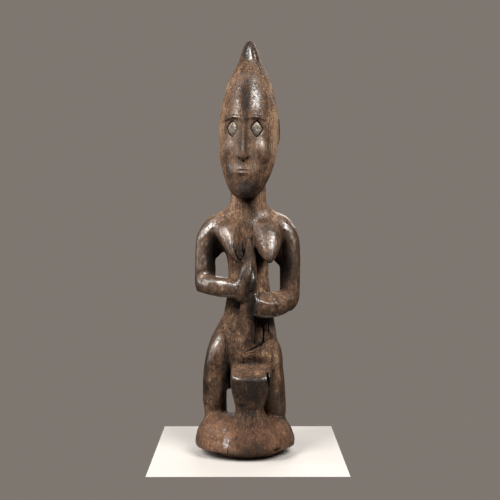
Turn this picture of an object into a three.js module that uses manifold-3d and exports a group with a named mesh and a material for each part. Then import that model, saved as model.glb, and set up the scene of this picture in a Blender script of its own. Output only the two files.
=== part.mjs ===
// A tribal figure carved from one block of hard, dark wood: a standing woman with bent legs, both hands on an upright
// staff in front of the body, a cup-shaped mortar between the legs, all on one rounded foot. The eyes are two thin
// plates let into the wood. Millimetres, +Z up, the face looks towards -Y, and the origin is on the floor.
import * as THREE from "three";
import { mergeVertices } from "three/addons/utils/BufferGeometryUtils.js";
import Module from "manifold-3d";

// Driving sizes.
const HEIGHT = 440; // floor to the tip of the crest
const FOOT_HALF = 52; // half the foot's width where it is widest
const NECK_HALF = 19;
const HEAD_HALF = 30.4; // half the head's width
const ARM_HALF = 9.5; // half the upper arm's width
const LEG_HALF = 12.7; // half the leg's width
const STAFF_HALF = 8.4;
const PLATE_THICK = 2.6; // an eye plate
const GAP = 0.3; // left between an eye plate and its socket

// Levels above the floor.
const FOOT_TOP = 35;
const CUP_RIM = 86; // the front of the cup's rim
const KNEE = 104;
const WAIST = 146;
const CHEST = 236;
const SHOULDER = 248;
const CHIN = 274;
const CROWN = 414; // where the head ends and the crest begins

// The face is laid out by the usual rules of drawing: the eyes half way up the head, one eye's width apart and a
// fifth of the head wide; the nose ends half way from the brow to the chin; the mouth a third of the way below it.
const HEAD_HIGH = CROWN - CHIN;
const EYE_LEVEL = CHIN + HEAD_HIGH / 2;
const EYE_WIDE = (2 * HEAD_HALF) / 5;
const BROW_LEVEL = EYE_LEVEL + 0.75 * EYE_WIDE;
const NOSE_LEVEL = (BROW_LEVEL + CHIN) / 2;
const MOUTH_LEVEL = NOSE_LEVEL - (NOSE_LEVEL - CHIN) / 3;
const FACE_FRONT = -36; // how far the face stands in front of the head's axis
const HEAD_PLACE = new THREE.Vector3(0, 2, 0);
const HEAD_TURN = THREE.MathUtils.degToRad(-8); // the head looks a little to its own right
const HEAD_LEAN = THREE.MathUtils.degToRad(0.8); // and its chin is a little off the middle

const wasm = await Module();
wasm.setup();

// A closed three.js geometry as a solid that can be joined and cut.
function solid(geometry) {
  const bare = geometry.clone();
  bare.deleteAttribute("normal");
  bare.deleteAttribute("uv");
  const merged = mergeVertices(bare, 1e-4);
  return new wasm.Manifold(
    new wasm.Mesh({
      numProp: 3,
      vertProperties: new Float32Array(merged.attributes.position.array),
      triVerts: new Uint32Array(merged.index.array),
    }),
  );
}

// A solid as a three.js geometry.
function geometryOf(made) {
  const mesh = made.getMesh();
  return new THREE.BufferGeometry()
    .setAttribute("position", new THREE.BufferAttribute(mesh.vertProperties, 3))
    .setIndex(new THREE.BufferAttribute(mesh.triVerts, 1));
}

const join = (...solids) => solids.reduce((whole, piece) => whole.add(piece));

// A section of a limb: its middle, and half its width and depth.
const at = (x, y, z, wide, deep = wide) => ({ x, y, z, wide, deep });

// A limb through its sections. A cylinder's rings are moved onto a smooth spine; boxy is 2 for an oval section and
// more for one with flatter sides; deepWay is roughly the way in which its depth is measured; level keeps each of
// its sections level.
const BACK_WAY = new THREE.Vector3(0, 1, 0);
const UP_WAY = new THREE.Vector3(0, 0, 1);
function limb(sections, { around = 16, rings = 2, boxy = 2, deepWay = BACK_WAY, level = false } = {}) {
  const steps = (sections.length - 1) * rings;
  const spine = new THREE.CatmullRomCurve3(sections.map((s) => new THREE.Vector3(s.x, s.y, s.z)));
  const sizes = new THREE.CatmullRomCurve3(sections.map((s) => new THREE.Vector3(s.wide, s.deep, 0)));
  const geometry = new THREE.CylinderGeometry(1, 1, 1, around, steps);
  const place = geometry.attributes.position;
  const rounded = (value) => Math.sign(value) * Math.abs(value) ** (2 / boxy);
  for (let i = 0; i < place.count; i++) {
    const along = place.getY(i) + 0.5;
    const onward = level ? UP_WAY : spine.getTangent(along);
    const wideWay = new THREE.Vector3().crossVectors(onward, deepWay).normalize();
    const deepest = new THREE.Vector3().crossVectors(wideWay, onward);
    const size = sizes.getPoint(along);
    const point = spine
      .getPoint(along)
      .addScaledVector(wideWay, size.x * rounded(place.getX(i)))
      .addScaledVector(deepest, size.y * rounded(place.getZ(i)));
    place.setXYZ(i, point.x, point.y, point.z);
  }
  return solid(geometry);
}

// An egg-shaped lump.
function lump(x, y, z, wide, deep, high, around = 20) {
  const ball = new THREE.SphereGeometry(1, around, Math.round(around / 2));
  ball.rotateX(Math.PI / 2).scale(wide, deep, high).translate(x, y, z);
  return solid(ball);
}

// A block with its middle at a point, turned about its own axes.
function block(size, middle, turns = [0, 0, 0]) {
  const box = new THREE.BoxGeometry(...size);
  box.applyMatrix4(new THREE.Matrix4().makeRotationFromEuler(new THREE.Euler(...turns)));
  return solid(box.translate(...middle));
}

// The rounded foot: steep sides, widest a little above the floor and undercut all round, with a broad facet at the
// front that rises to the cup.
function foot() {
  const dish = limb(
    [
      at(1, -3, -5, 36, 38),
      at(-1, -3, 3, 44, 47),
      at(-2.5, -3, 10, FOOT_HALF + 0.4, FOOT_HALF),
      at(-3.6, -2, 22, FOOT_HALF - 2.4, FOOT_HALF - 3),
      at(-4.4, 0, 28, FOOT_HALF - 7, FOOT_HALF - 11),
      at(-5, 2, FOOT_TOP - 2, FOOT_HALF - 15, FOOT_HALF - 21),
      at(-5, 3, FOOT_TOP + 1, FOOT_HALF - 28, FOOT_HALF - 34),
    ],
    { around: 26, boxy: 2.1, level: true },
  );
  const facet = limb(
    [at(6, -20, 7, 27, 27), at(7, -23, 17, 29, 28.5), at(5, -25, 31, 21.5, 20), at(2, -27, FOOT_TOP + 13, 14, 12)],
    { around: 18, boxy: 2.4, level: true },
  );
  return join(dish, facet).subtract(block([140, 140, 20], [0, 0, -10]));
}

// The figure's right leg is on the viewer's left. Both legs are bent, with the knees forward.
function rightLeg() {
  return limb(
    [
      at(-34.8, 4, FOOT_TOP - 9, LEG_HALF - 1, 14),
      at(-35.4, 2, FOOT_TOP + 11, LEG_HALF - 0.6, 15),
      at(-36, -3, FOOT_TOP + 27, LEG_HALF + 0.3, 17),
      at(-34.8, -8, KNEE - 18, LEG_HALF, 19.5),
      at(-32.2, -8, KNEE, LEG_HALF - 0.4, 21),
      at(-26.5, -2, KNEE + 15, LEG_HALF + 0.6, 22),
      at(-19, 4, KNEE + 29, LEG_HALF, 20),
      at(-12, 6, KNEE + 40, LEG_HALF - 3, 15),
    ],
    { boxy: 2.5 },
  );
}

function leftLeg() {
  return limb(
    [
      at(29, 6, FOOT_TOP - 11, LEG_HALF - 1, 13),
      at(28.6, 3, FOOT_TOP + 9, LEG_HALF - 0.5, 14.5),
      at(27.4, -1, FOOT_TOP + 25, LEG_HALF, 17),
      at(25.8, -6, KNEE - 19, LEG_HALF, 19),
      at(21.6, -6, KNEE, LEG_HALF + 0.4, 21),
      at(17.4, 0, KNEE + 15, LEG_HALF + 0.6, 21),
      at(14.8, 5, KNEE + 29, LEG_HALF, 19),
      at(12, 6, KNEE + 40, LEG_HALF - 3, 15),
    ],
    { boxy: 2.5 },
  );
}

// The cup of the mortar, narrow at its foot, with its top cut to a slope that faces the viewer.
function cup() {
  const body = limb(
    [
      at(2, -27, FOOT_TOP + 1, 15, 12),
      at(2, -27, FOOT_TOP + 15, 14.6, 12.4),
      at(2, -27.5, FOOT_TOP + 25, 17, 15),
      at(2.2, -28, CUP_RIM - 14, 19.4, 17.6),
      at(3, -28, CUP_RIM - 2, 21.3, 20),
      at(3.4, -27, CUP_RIM + 14, 20.4, 18.4),
    ],
    { around: 26, boxy: 2.8, level: true },
  );
  const slope = THREE.MathUtils.degToRad(30);
  const cover = block([60, 90, 20], [3, -48 - 10 * Math.sin(slope), CUP_RIM + 10 * Math.cos(slope)], [slope, 0, 0]);
  return body.subtract(cover);
}

// The lap: a mass between the thighs that comes down onto the back of the cup. Its top is a ledge that rises to the
// figure's left hip; on the right of the staff the belly runs down into it without an edge.
function lap() {
  const mass = limb(
    [
      at(3, -16, CUP_RIM - 16, 12, 6),
      at(3, -12, CUP_RIM - 2, 20, 17),
      at(4, -13, KNEE - 4, 21.5, 19.5),
      at(6, -12, KNEE + 12, 21.5, 20),
      at(8, -6, KNEE + 26, 18, 16),
    ],
    { around: 20, boxy: 2.4, level: true },
  );
  const above = block([90, 70, 40], [0.3, -18, KNEE + 27.5], [0.24, -0.34, 0]);
  const belly = limb(
    [at(-6, -14, CUP_RIM - 8, 7, 6), at(-7, -13, KNEE - 6, 15, 17), at(-7, -10, KNEE + 12, 15.5, 16),
      at(-6, -4, WAIST - 10, 15, 14), at(-4, 2, WAIST + 8, 13, 11)],
    { boxy: 2.3, level: true },
  );
  const onto = lump(21.5, -14, KNEE, 13, 14, 17, 14); // the lap runs on into the left thigh
  const web = lump(-20, 5, KNEE - 20, 9, 11, 19, 12); // and closes the top of the gap beside the right leg
  return join(mass.subtract(above), belly, onto, web);
}

function torso() {
  return limb(
    [
      at(-3, 8, KNEE - 18, 13, 9),
      at(-3, 8, KNEE - 12, 22, 17),
      at(-3, 8, KNEE, 28, 23),
      at(-2.5, 9, KNEE + 14, 30, 25.5),
      at(-1, 8.5, WAIST - 12, 29.5, 24),
      at(0.5, 6.5, WAIST + 2, 26.8, 20.5),
      at(1, 5, WAIST + 20, 24, 18),
      at(0.5, 4.5, WAIST + 42, 21.6, 16.8),
      at(0, 5, CHEST - 28, 23, 17.5),
      at(0, 5, CHEST - 15, 28.6, 19.5),
      at(0, 4.5, CHEST - 3, 40, 20),
      at(0.5, 4, SHOULDER - 2, 43.5, 18.4),
      at(0.5, 4, SHOULDER + 5, 39, 17.5),
      at(0.5, 4.5, SHOULDER + 11, 28, 17.5),
      at(0.5, 5, SHOULDER + 17, NECK_HALF + 1.6, NECK_HALF - 0.6),
      at(0.3, 5, SHOULDER + 26, NECK_HALF, NECK_HALF - 1),
      at(0, 4, CHIN + 30, NECK_HALF, NECK_HALF - 1),
    ],
    { around: 22, rings: 1, boxy: 2.25, level: true },
  );
}

// Each arm is an upper arm that hangs from the shoulder and a forearm that runs in to the staff. The upper arm's
// section is a long oval, turned so that its back lies nearer to the body than its front.
const armTurn = (side) => new THREE.Vector3(-side * 0.5, 1, 0);

function rightArm() {
  const upper = limb(
    [
      at(-20, 4, SHOULDER - 10, 8, 10),
      at(-33, 3.5, SHOULDER - 8.5, 13, 14.5),
      at(-42.6, 2.5, SHOULDER - 18, 11.6, 14),
      at(-45.6, 1, SHOULDER - 36, ARM_HALF, 13.5),
      at(-45.8, -1, SHOULDER - 54, ARM_HALF - 0.3, 13.5),
      at(-46, -3, SHOULDER - 70, ARM_HALF, 12),
      at(-47.4, -4, SHOULDER - 77.5, ARM_HALF - 3, 8),
    ],
    { boxy: 2.2, deepWay: armTurn(-1) },
  );
  const armpit = lump(-34, 6, SHOULDER - 20, 10, 10, 17, 12);
  const fore = limb(
    [at(-50.5, 1, 181, 6, 6), at(-45, -8, 181, 9.8, 9.5), at(-36, -18, 180, 10.2, 10),
      at(-25, -25, 178.8, 10.2, 10), at(-13, -29.5, 177.5, 9.6, 9.4), at(-3, -33, 177, 9, 8)],
    { boxy: 2.5 },
  );
  return join(upper, armpit, fore);
}

function leftArm() {
  const upper = limb(
    [
      at(20, 4, SHOULDER - 10, 8, 10),
      at(33, 3.5, SHOULDER - 8.5, 13, 14.5),
      at(42, 2.5, SHOULDER - 18, 11.6, 14),
      at(44.8, 1, SHOULDER - 38, ARM_HALF, 13.5),
      at(45, -1, SHOULDER - 62, ARM_HALF - 0.3, 13.5),
      at(44, -3, SHOULDER - 84, ARM_HALF, 12),
      at(40, -4, SHOULDER - 95, ARM_HALF - 4, 8),
    ],
    { boxy: 2.2, deepWay: armTurn(1) },
  );
  const armpit = lump(35.5, 6, SHOULDER - 28, 10.5, 10, 19, 12);
  const fore = limb(
    [at(46.5, 3, 166, 6, 6), at(40, -6, 163.5, 11.5, 10.5), at(29, -18, 160.5, 13, 12),
      at(16, -27, 160, 13.6, 11), at(5, -31, 161, 12, 9)],
    { boxy: 2.7 },
  );
  const bevel = block([90, 60, 20], [32.5, -23.5, 180.6], [0.61, 0.39, 0]); // its top slopes down to the front
  return join(upper, armpit, fore.subtract(bevel));
}

// The figure's right hand lies along the staff with the fingers up; the left one closes round it from the side.
function hands() {
  const palm = limb(
    [at(-8, -31, 166, 4, 5), at(-6.5, -34, 174, 7, 7), at(-4, -34.5, 187, 7.4, 7), at(-1, -32, 201, 6, 6)],
    { around: 14 },
  );
  const finger = (x, tip) =>
    limb(
      [at(x - 2.2, -37.5, 184, 2.2, 3), at(x, -37.4, 196, 2.2, 3), at(0.6 * x + 1.2, -31.5, tip, 1.3, 1.8)],
      { around: 8 },
    );
  const thumb = limb([at(4, -36, 178, 3, 4), at(5.2, -37.5, 187, 2.6, 3.6), at(5, -36, 197, 1.4, 2)],
    { around: 8 });
  return join(palm, finger(-5.6, 208), finger(-1.8, 213), finger(2, 211), thumb);
}

// The staff is slim and pointed above the hands and thick below them.
function staff() {
  return limb(
    [
      at(1, -22, KNEE - 4, STAFF_HALF - 1, STAFF_HALF - 1),
      at(0.4, -24, KNEE + 16, STAFF_HALF, STAFF_HALF),
      at(0, -25, WAIST + 4, STAFF_HALF, STAFF_HALF),
      at(1.6, -28, WAIST + 24, STAFF_HALF - 1, STAFF_HALF),
      at(2.2, -30, WAIST + 44, 6.6, 8),
      at(2.2, -26, WAIST + 62, 5.6, 7),
      at(2, -19, WAIST + 78, 3.6, 5.5),
      at(1.6, -15, WAIST + 88, 1.4, 2),
    ],
    { around: 14 },
  );
}

// Two broad breasts that hang to a point; the inner side of the right one is broken away.
function breasts() {
  const left = limb(
    [at(18.5, 2, 242, 18, 15), at(19.6, -9, 236, 17.4, 14.4), at(20.8, -20, 226.5, 14.8, 12),
      at(21.6, -28.5, 216.5, 10.4, 8.2), at(22.2, -33.6, 210, 5.8, 5), at(22.6, -36.6, 206, 2, 2)],
    { rings: 1, deepWay: UP_WAY },
  );
  const right = limb(
    [at(-18.5, 2, 242, 18, 15), at(-17, -9, 236, 17.4, 14.4), at(-13, -20, 226.5, 14.8, 12),
      at(-11.2, -28.5, 216.5, 10.4, 8.2), at(-10.6, -33.4, 210, 5.8, 5), at(-10.2, -36.2, 206.5, 2.2, 2.2)],
    { rings: 1, deepWay: UP_WAY },
  );
  const lost = block([16, 40, 34], [2.6, -32, 216], [0.1, 0.5, 0.25]);
  return join(left, right.subtract(lost));
}

// The head and its crest are one long, smooth form, built upright about its own axis and then turned.
function headForm(thicker = 0) {
  const sections = [
    [-22, CHIN, 7, 6],
    [-21, CHIN + 3, 12, 12],
    [-16, CHIN + 12, HEAD_HALF - 12, 20],
    [-9, CHIN + 26, HEAD_HALF - 6, 28],
    [-5, CHIN + 41, HEAD_HALF - 1.9, 32.5],
    [-2, CHIN + 57, HEAD_HALF - 0.5, 34.5],
    [0, CHIN + 73, HEAD_HALF, 36],
    [1.5, CHIN + 88, HEAD_HALF - 0.8, 36.5],
    [3, CHIN + 104, HEAD_HALF - 2.6, 35.5],
    [4, CHIN + 118, HEAD_HALF - 5.6, 31.5],
    [4, CHIN + 128, HEAD_HALF - 9.4, 27],
    [4, CROWN - 3, HEAD_HALF - 14.4, 20.5],
    [3.5, CROWN + 5, HEAD_HALF - 18, 15],
    [2.5, CROWN + 13, HEAD_HALF - 19.8, 12],
    [1, CROWN + 20, HEAD_HALF - 22.6, 8.6],
    [0, HEIGHT - 2.4, HEAD_HALF - 25.8, 5],
    [0, HEIGHT, HEAD_HALF - 29, 1.6],
  ];
  const grown = sections.map(([y, z, wide, deep]) => at(0, y, z, wide + thicker, deep + thicker));
  return limb(grown, { around: 24, rings: 1, boxy: 2.1, level: true });
}

// The cap of hair stands a little proud of the head. Its edge runs from the crest across the temples to the ears,
// and it ends in a line across the nape.
function hairCap() {
  const face = new THREE.Shape();
  face.moveTo(-70, CHIN - 20);
  face.lineTo(-70, CROWN + 40);
  face.lineTo(-30, CROWN + 40);
  face.lineTo(-15, CROWN - 2);
  face.quadraticCurveTo(-20, CROWN - 26, -12, CROWN - 38);
  face.quadraticCurveTo(-2, CROWN - 50, 1, EYE_LEVEL + 8);
  face.lineTo(6, EYE_LEVEL - 24);
  face.lineTo(70, EYE_LEVEL - 34);
  face.lineTo(70, CHIN - 20);
  const bare = new THREE.ExtrudeGeometry(face, { depth: 120, bevelEnabled: false, curveSegments: 5 });
  bare.rotateX(Math.PI / 2).rotateZ(Math.PI / 2).translate(-60, 0, 0);
  return headForm(1.2).subtract(solid(bare));
}

function head() {
  const keel = limb(
    [at(0, -16, CROWN - 6, 1.6, 3), at(0, -10.8, CROWN + 4, 2.8, 3.4), at(0, -7.6, CROWN + 13, 2.4, 3),
      at(0, -4, HEIGHT - 5, 1.4, 2)],
    { around: 10 },
  );
  const nose = limb(
    [
      at(0, FACE_FRONT + 2, BROW_LEVEL + 3, 3, 3.4),
      at(0, FACE_FRONT - 0.5, EYE_LEVEL - 2, 2.6, 4.5),
      at(0, FACE_FRONT - 3, NOSE_LEVEL + 9, 3.8, 5.6),
      at(0, FACE_FRONT - 3.5, NOSE_LEVEL + 2, EYE_WIDE / 2, 6),
      at(0, FACE_FRONT - 2, NOSE_LEVEL - 1, EYE_WIDE / 2 - 1.4, 4.6),
    ],
    { around: 14 },
  );
  const lip = (level) => limb(
    [at(-0.8 * EYE_WIDE, FACE_FRONT + 3.6, level, 1.4, 2), at(0, FACE_FRONT - 0.2, level, 2.8, 3.6),
      at(0.8 * EYE_WIDE, FACE_FRONT + 3.6, level, 1.4, 2)],
    { around: 10, rings: 3 },
  );
  const hollows = [-1, 1].map((side) =>
    lump(side * EYE_WIDE * 1.02, FACE_FRONT - 0.6, EYE_LEVEL - 1.5, 0.82 * EYE_WIDE, 6.4, 0.86 * EYE_WIDE, 16),
  );
  const ears = [-1, 1].map((side) => lump(side * (HEAD_HALF - 1.6), 8, EYE_LEVEL + 1, 3.6, 7.4, 14, 12));
  const face = join(headForm(), keel).subtract(join(...hollows));
  return join(face, hairCap(), nose, lip(MOUTH_LEVEL + 2.3), lip(MOUTH_LEVEL - 2.3), ...ears);
}

// One eye plate, or with room = GAP the socket that it lies in: a lozenge that follows the cheek's slope.
function eyePlate(side, room = 0) {
  const wide = EYE_WIDE / 2 + room;
  const high = 0.62 * EYE_WIDE + room;
  const outline = new THREE.Shape();
  outline.moveTo(wide, 0);
  outline.quadraticCurveTo(wide * 0.62, high * 0.62, 0, high);
  outline.quadraticCurveTo(-wide * 0.62, high * 0.62, -wide, 0);
  outline.quadraticCurveTo(-wide * 0.62, -high * 0.62, 0, -high);
  outline.quadraticCurveTo(wide * 0.62, -high * 0.62, wide, 0);
  const thick = room ? PLATE_THICK + 12 : PLATE_THICK;
  const plate = new THREE.ExtrudeGeometry(outline, { depth: thick, bevelEnabled: false, curveSegments: 4 });
  const outward = 0.42; // how far the plate turns to its own side
  plate.translate(0, 0, room ? -PLATE_THICK / 2 - room : -PLATE_THICK / 2);
  plate.rotateX(Math.PI / 2).rotateZ(side * outward);
  return solid(plate.translate(side * EYE_WIDE, FACE_FRONT + 4.6, EYE_LEVEL));
}

// Moves a piece of the head from its own upright axis to where the head is.
function settle(piece) {
  const turn = new THREE.Matrix4().makeRotationFromEuler(new THREE.Euler(0, HEAD_LEAN, HEAD_TURN, "ZYX"));
  const up = new THREE.Matrix4().makeTranslation(0, 0, CHIN);
  const down = new THREE.Matrix4().makeTranslation(0, 0, -CHIN);
  const place = new THREE.Matrix4().makeTranslation(HEAD_PLACE).multiply(up).multiply(turn).multiply(down);
  return geometryOf(piece).applyMatrix4(place);
}

const headPiece = solid(settle(head().subtract(eyePlate(-1, GAP)).subtract(eyePlate(1, GAP))));
const carving = join(
  foot(), rightLeg(), leftLeg(), cup(), lap(), torso(), rightArm(), leftArm(), hands(), staff(), breasts(),
  headPiece,
);

const wood = new THREE.MeshStandardMaterial({ color: 0x3a281c, roughness: 0.45, metalness: 0 });
const plateMetal = new THREE.MeshStandardMaterial({ color: 0xa9a79b, roughness: 0.3, metalness: 1 });

function part(name, geometry, material) {
  const mesh = new THREE.Mesh(geometry, material);
  mesh.name = name;
  return mesh;
}

const figure = new THREE.Group();
figure.add(part("carved_figure", geometryOf(carving), wood));
figure.add(part("right_eye_plate", settle(eyePlate(-1)), plateMetal));
figure.add(part("left_eye_plate", settle(eyePlate(1)), plateMetal));

export default figure;
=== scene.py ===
"""A tribal figure carved in dark wood: a standing woman with an upright staff, a cup between the bent legs
and a rounded foot. It is modelled like clay, as distances to its surface on a fine grid, then meshed once."""

import bpy
import numpy as np
import openvdb as vdb
from mathutils import Matrix, Vector
from mathutils.kdtree import KDTree


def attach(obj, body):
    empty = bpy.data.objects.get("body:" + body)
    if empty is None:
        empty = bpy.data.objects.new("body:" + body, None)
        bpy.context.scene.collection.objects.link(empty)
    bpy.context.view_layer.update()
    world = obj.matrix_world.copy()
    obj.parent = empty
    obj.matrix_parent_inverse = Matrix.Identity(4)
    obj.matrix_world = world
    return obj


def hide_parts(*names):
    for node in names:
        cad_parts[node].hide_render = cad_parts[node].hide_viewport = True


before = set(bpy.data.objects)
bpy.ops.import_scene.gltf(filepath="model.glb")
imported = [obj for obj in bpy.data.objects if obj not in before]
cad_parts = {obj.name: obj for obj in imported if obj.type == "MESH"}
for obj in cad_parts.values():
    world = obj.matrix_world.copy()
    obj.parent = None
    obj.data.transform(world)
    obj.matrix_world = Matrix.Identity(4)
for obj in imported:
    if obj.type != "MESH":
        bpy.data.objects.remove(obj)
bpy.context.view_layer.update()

# The clay's grid. All shape sizes in this script are millimetres until the mesh is made.
VOXEL = 0.8
BAND = 10  # how many voxels the distances reach on each side of a surface
FAR = BAND * VOXEL
LATTICE = vdb.createLinearTransform(voxelSize=VOXEL)
LOW = np.floor(np.array([-64, -64, -8]) / VOXEL).astype(int)
HIGH = np.ceil(np.array([64, 58, 450]) / VOXEL).astype(int)


def spline(rows, count):
    """Points on a smooth curve through rows, evenly many between each two."""
    rows = np.array(rows, float)
    ends = np.vstack([2 * rows[0] - rows[1], rows, 2 * rows[-1] - rows[-2]])
    place = np.linspace(0, len(rows) - 1, count)
    start = np.minimum(place.astype(int), len(rows) - 2)
    t = (place - start)[:, None]
    a, b, c, d = (ends[start + i] for i in range(4))
    return 0.5 * (2 * b + (c - a) * t + (2 * a - 5 * b + 4 * c - d) * t**2 + (3 * b - a - 3 * c + d) * t**3)


def smoothstep(low, high, value):
    t = np.clip((value - low) / (high - low), 0, 1)
    return t * t * (3 - 2 * t)


class Clay:
    """Distances to a surface on the grid, negative inside."""

    def __init__(self, low=LOW, high=HIGH):
        self.low = np.array(low)
        self.f = np.full(np.array(high) - self.low, FAR, np.float32)

    def window(self, low, high):
        """The part of the grid between two corners: its slices, and its points' coordinates."""
        a = np.maximum(np.floor(np.array(low) / VOXEL).astype(int) - self.low, 0)
        b = np.minimum(np.ceil(np.array(high) / VOXEL).astype(int) - self.low, self.f.shape)
        cut = tuple(slice(p, q) for p, q in zip(a, b))
        axes = [(np.arange(p, q) + o).astype(np.float32) * VOXEL for p, q, o in zip(a, b, self.low)]
        return cut, np.meshgrid(*axes, indexing="ij", sparse=True)

    def add(self, shape, soft=0.0):
        """Joins a shape, with a fillet about as wide as soft."""
        cut, xyz = self.window(shape.low, shape.high)
        self.f[cut] = soft_min(self.f[cut], shape.at(xyz), soft)

    def cut(self, shape, soft=0.0):
        """Cuts a shape away, with an edge about as rounded as soft."""
        cut, xyz = self.window(shape.low, shape.high)
        self.f[cut] = -soft_min(-self.f[cut], shape.at(xyz), soft)


def soft_min(a, b, soft):
    if soft <= 0:
        return np.minimum(a, b)
    h = np.maximum(soft - np.abs(a - b), 0) / soft
    return np.minimum(a, b) - h * h * (soft / 4)


class Shape:
    """Something that can be added or cut: a distance function with the box that it matters in."""

    def __init__(self, at, low, high, room=8):
        self.at = at
        self.low = np.array(low, float) - room
        self.high = np.array(high, float) + room


def ball(middle, radii, turn=None):
    """An egg. turn is a 3 by 3 matrix whose rows are the egg's own axes."""
    radii = np.array(radii, float)
    own = np.eye(3) if turn is None else turn

    def at(xyz):
        p = [c - m for c, m in zip(xyz, middle)]
        u = [own[i][0] * p[0] + own[i][1] * p[1] + own[i][2] * p[2] for i in range(3)]
        one = np.sqrt(sum((u[i] / radii[i]) ** 2 for i in range(3)))
        two = np.sqrt(sum((u[i] / radii[i] ** 2) ** 2 for i in range(3)))
        return (one * (one - 1) / np.maximum(two, 1e-4)).astype(np.float32)

    reach = np.abs(own.T) @ radii
    return Shape(at, np.array(middle) - reach, np.array(middle) + reach)


def half_space(point, normal, low, high):
    """What lies behind a plane, inside the box between low and high."""
    n = np.array(normal, float)
    n /= np.linalg.norm(n)

    def at(xyz):
        return sum(n[i] * (xyz[i] - point[i]) for i in range(3)).astype(np.float32)

    return Shape(at, low, high, room=0)


def loft(rows, around=64, steps=None, level=False, deep_way=(0, 1, 0)):
    """A limb through rows of (x, y, z, half width, half depth in front, half depth behind, boxiness). A level
    limb's sections stay level. Otherwise they stand across its spine, with their depth along deep_way."""
    rows = [list(r) + [2.0] * (7 - len(r)) for r in rows]
    steps = steps or 12 * len(rows)
    line = spline(rows, steps)
    onward = np.gradient(line[:, :3], axis=0)
    if level:
        onward = np.tile([0.0, 0, 1], (steps, 1))
    onward /= np.linalg.norm(onward, axis=1)[:, None]
    wide_way = np.cross(np.array(deep_way, float), onward)
    wide_way /= np.linalg.norm(wide_way, axis=1)[:, None]
    deep = np.cross(onward, wide_way)
    angle = np.linspace(0, 2 * np.pi, around, endpoint=False)
    c, s = np.cos(angle), np.sin(angle)
    power = 2 / np.maximum(line[:, 6:7], 1.2)
    x = np.sign(c) * np.abs(c) ** power * line[:, 3:4]
    y = np.sign(s) * np.abs(s) ** power * np.where(s < 0, line[:, 4:5], line[:, 5:6])
    points = line[:, None, :3] + x[..., None] * wide_way[:, None] + y[..., None] * deep[:, None]
    flat = np.vstack([points.reshape(-1, 3), line[:1, :3], line[-1:, :3]]).astype(np.float32)
    i, j = np.meshgrid(np.arange(steps - 1), np.arange(around), indexing="ij")
    k = (j + 1) % around
    quads = np.stack([i * around + j, i * around + k, (i + 1) * around + k, (i + 1) * around + j], -1)
    j = np.arange(around)
    k = (j + 1) % around
    end = (steps - 1) * around
    first = np.stack([np.full(around, steps * around), k, j], -1)
    last = np.stack([np.full(around, steps * around + 1), end + j, end + k], -1)
    return flat, np.vstack([first, last]).astype(np.uint32), quads.reshape(-1, 4).astype(np.uint32)


class Grid(Shape):
    """A shape that is itself a grid of distances."""

    def __init__(self, grid, first):
        self.grid, self.first = grid, np.array(first)
        self.low, self.high = self.first * VOXEL, (self.first + grid.shape) * VOXEL

    def at(self, xyz):
        spans = [np.round(c.ravel() / VOXEL).astype(int) - o for c, o in zip(xyz, self.first)]
        keep = [(s >= 0) & (s < n) for s, n in zip(spans, self.grid.shape)]
        out = np.full([len(s) for s in spans], FAR, np.float32)
        inner = self.grid[np.ix_(*[s[k] for s, k in zip(spans, keep)])]
        out[np.ix_(*[np.flatnonzero(k) for k in keep])] = inner
        return out


def limb(rows, move=None, **how):
    """A loft as a grid of distances."""
    points, triangles, quads = loft(rows, **how)
    if move is not None:
        points = move(points).astype(np.float32)
    grid = vdb.FloatGrid.createLevelSetFromPolygons(
        points, triangles=triangles, quads=quads, transform=LATTICE, halfWidth=float(BAND)
    )
    low, high = (np.array(c) for c in grid.evalActiveVoxelBoundingBox())
    dense = np.empty(high - low + 1, np.float32)
    grid.copyToArray(dense, ijk=tuple(int(v) for v in low))
    return Grid(dense, low)


def sub_clay(shape, room=4):
    """A small clay that holds just one shape, to be cut before it is added to another."""
    low, high = (np.round(c / VOXEL).astype(int) for c in (shape.low - room, shape.high + room))
    clay = Clay(low, high)
    clay.add(shape)
    return clay


def score(clay, line, wide, deep, low, high, axes=(0, 2)):
    """Cuts a crack or a tool's line between corners low and high. line is its points in the plane of axes,
    wide its half width at the surface, one number or one a point. It tapers to nothing at deep."""
    cut, xyz = clay.window(low, high)
    a, b = xyz[axes[0]], xyz[axes[1]]
    line = np.array(line, float)
    widths = np.broadcast_to(np.array(wide, float), (len(line),))
    f = clay.f[cut]
    room = 1 + np.minimum(f, 0) / deep
    for (p, q), (v, w) in zip(zip(line[:-1], line[1:]), zip(widths[:-1], widths[1:])):
        way = q - p
        t = np.clip(((a - p[0]) * way[0] + (b - p[1]) * way[1]) / (way @ way), 0, 1)
        near = np.hypot(a - p[0] - t * way[0], b - p[1] - t * way[1])
        f = np.maximum(f, (v + t * (w - v)) * room - near)
    clay.f[cut] = f


# The body. Rows are (x, y, z, half width, half depth in front, half depth behind, boxiness).
clay = Clay()

TORSO = [
    (-3, 8, 86, 13, 9, 9), (-3, 8, 92, 22, 17, 17), (-3, 8, 104, 28, 22, 22), (-2.5, 9, 118, 30, 23.5, 24),
    (-1, 8.5, 134, 29.5, 22, 23.5), (0.5, 6.5, 148, 26.8, 19.5, 20), (1, 5, 166, 24, 17.5, 18),
    (0.5, 4.5, 188, 21.6, 16, 17), (0, 5, 208, 23, 17, 18, 2.2), (0, 5, 221, 28.6, 18.5, 19.5, 2.3),
    (0, 4.5, 233, 39, 19, 20, 2.3), (0.5, 4, 245, 43.5, 17.5, 18.6, 2.2),
    (0.5, 4, 252, 40, 16.5, 17.8, 2.1), (0.5, 4.5, 258, 29.5, 16.6, 17.4), (0.5, 5, 265, 21, 17.4, 18.2),
    (0.3, 5, 274, 19, 17.5, 18), (0, 4, 304, 19, 17.5, 18),
]
clay.add(limb(TORSO, level=True, steps=160))
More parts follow.
